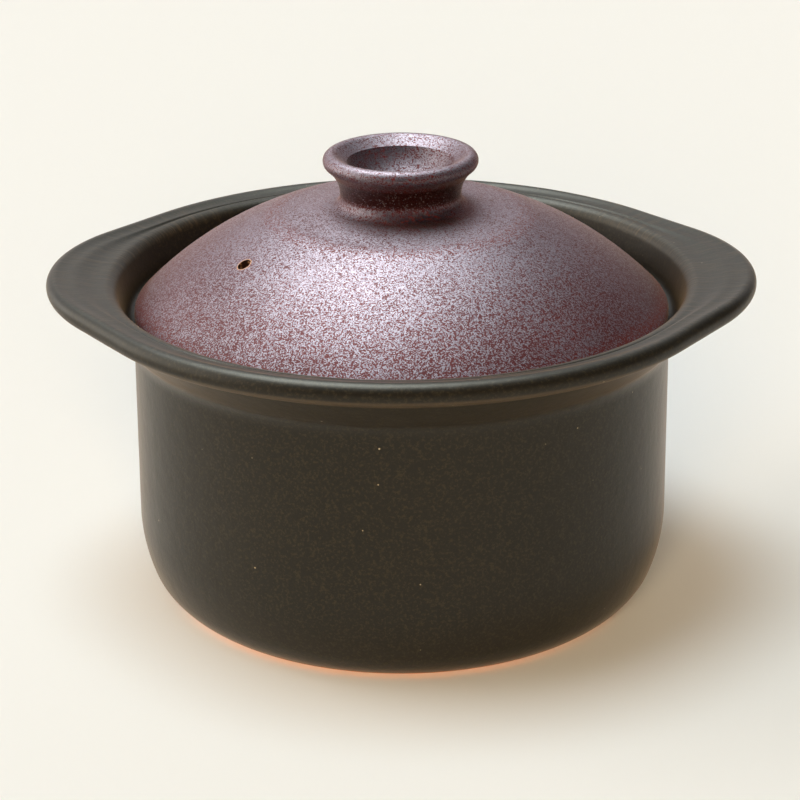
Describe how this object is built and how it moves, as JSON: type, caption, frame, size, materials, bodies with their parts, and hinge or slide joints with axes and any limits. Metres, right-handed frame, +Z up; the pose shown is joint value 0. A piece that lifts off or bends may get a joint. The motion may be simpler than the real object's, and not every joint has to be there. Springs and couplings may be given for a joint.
{
  "type": "earthenware rice pot",
  "caption": "Round earthenware rice pot with an oval rim that widens into wings, and a domed lid with a flared hollow knob and a steam hole.",
  "frame": {"origin": "centre of the foot, on the surface that the pot stands on", "axes": "+X towards the right-hand wing, +Z up through the knob, and the picture looks along +Y from the front and above"},
  "size_m": [0.262, 0.242, 0.1681],
  "materials": {
    "pot_glaze": "satin charcoal glaze",
    "lid_glaze": "satin wine-brown glaze full of fine crystals"
  },
  "bodies": {
    "root": {"pot": "pot_glaze", "lid": "lid_glaze"}
  },
  "joints": []
}
